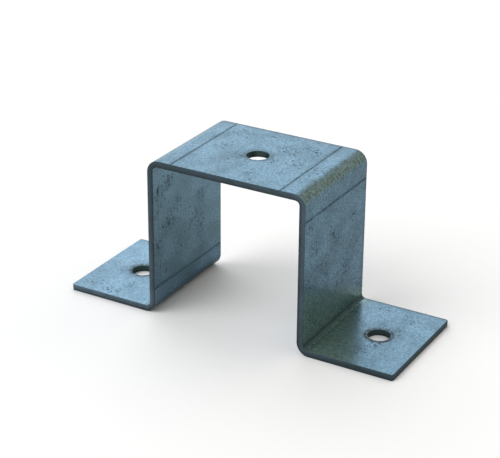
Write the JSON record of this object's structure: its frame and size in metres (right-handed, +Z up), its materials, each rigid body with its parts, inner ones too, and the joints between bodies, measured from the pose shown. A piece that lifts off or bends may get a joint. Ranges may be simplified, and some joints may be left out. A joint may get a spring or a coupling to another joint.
{
  "type": "square tube clamp",
  "caption": "Folded sheet-steel saddle that straddles a square tube: flat top plate with a hole, upright legs and drilled feet that bolt down.",
  "frame": {"origin": "middle of the clamp on the plane that the feet stand on", "axes": "+X across the tube from foot to foot, +Y along the tube, +Z up through the top plate"},
  "size_m": [0.1146, 0.04, 0.052],
  "materials": {
    "galvanised_steel": "galvanised, satin"
  },
  "bodies": {
    "root": {"clamp_bracket": "galvanised_steel"}
  },
  "joints": []
}
